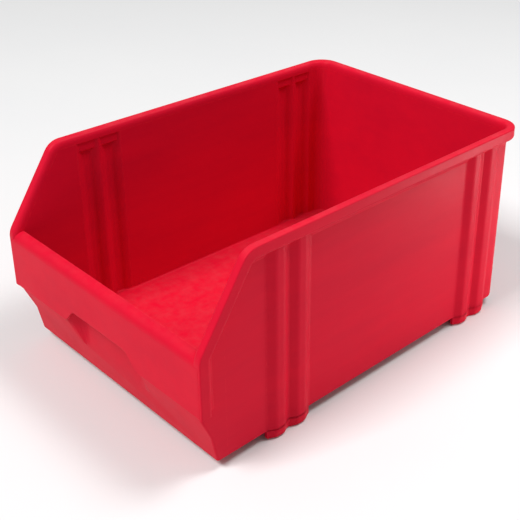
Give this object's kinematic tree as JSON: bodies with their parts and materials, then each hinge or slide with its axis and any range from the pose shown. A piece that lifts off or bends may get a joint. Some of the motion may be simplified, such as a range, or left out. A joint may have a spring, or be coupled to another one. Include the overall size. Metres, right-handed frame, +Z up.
{
  "type": "stackable storage bin",
  "caption": "Open-fronted stackable picking bin in red plastic, with a hopper front, outward stacking rim, hollow side ribs ending in feet, and a finger grip under the lip.",
  "frame": {"origin": "centre of the bin's length and width, at the level of the soles of its feet", "axes": "+X to the right seen from the open front, +Y from the open front to the back wall, +Z up"},
  "size_m": [0.314, 0.45, 0.22],
  "materials": {
    "walls": "satin moulded",
    "ribs": "satin moulded",
    "rim": "satin moulded, slightly polished by handling",
    "front": "satin moulded",
    "floor": "satin moulded with light sliding scuffs"
  },
  "bodies": {
    "root": {"back_rim": "rim", "back_wall": "walls", "floor_panel": "floor", "front_grip_slope": "front", "front_lip": "rim", "front_panel": "front", "front_toe": "front", "left_front_edge_rim": "rim", "left_front_rib_aft": "ribs", "left_front_rib_fore": "ribs", "left_front_wall": "walls", "left_middle_wall": "walls", "left_rear_rib_aft": "ribs", "left_rear_rib_fore": "ribs", "left_rear_wall": "walls", "left_side_rim": "rim", "left_slanted_rim": "rim", "right_front_edge_rim": "rim", "right_front_rib_aft": "ribs", "right_front_rib_fore": "ribs", "right_front_wall": "walls", "right_middle_wall": "walls", "right_rear_rib_aft": "ribs", "right_rear_rib_fore": "ribs", "right_rear_wall": "walls", "right_side_rim": "rim", "right_slanted_rim": "rim"}
  },
  "joints": []
}
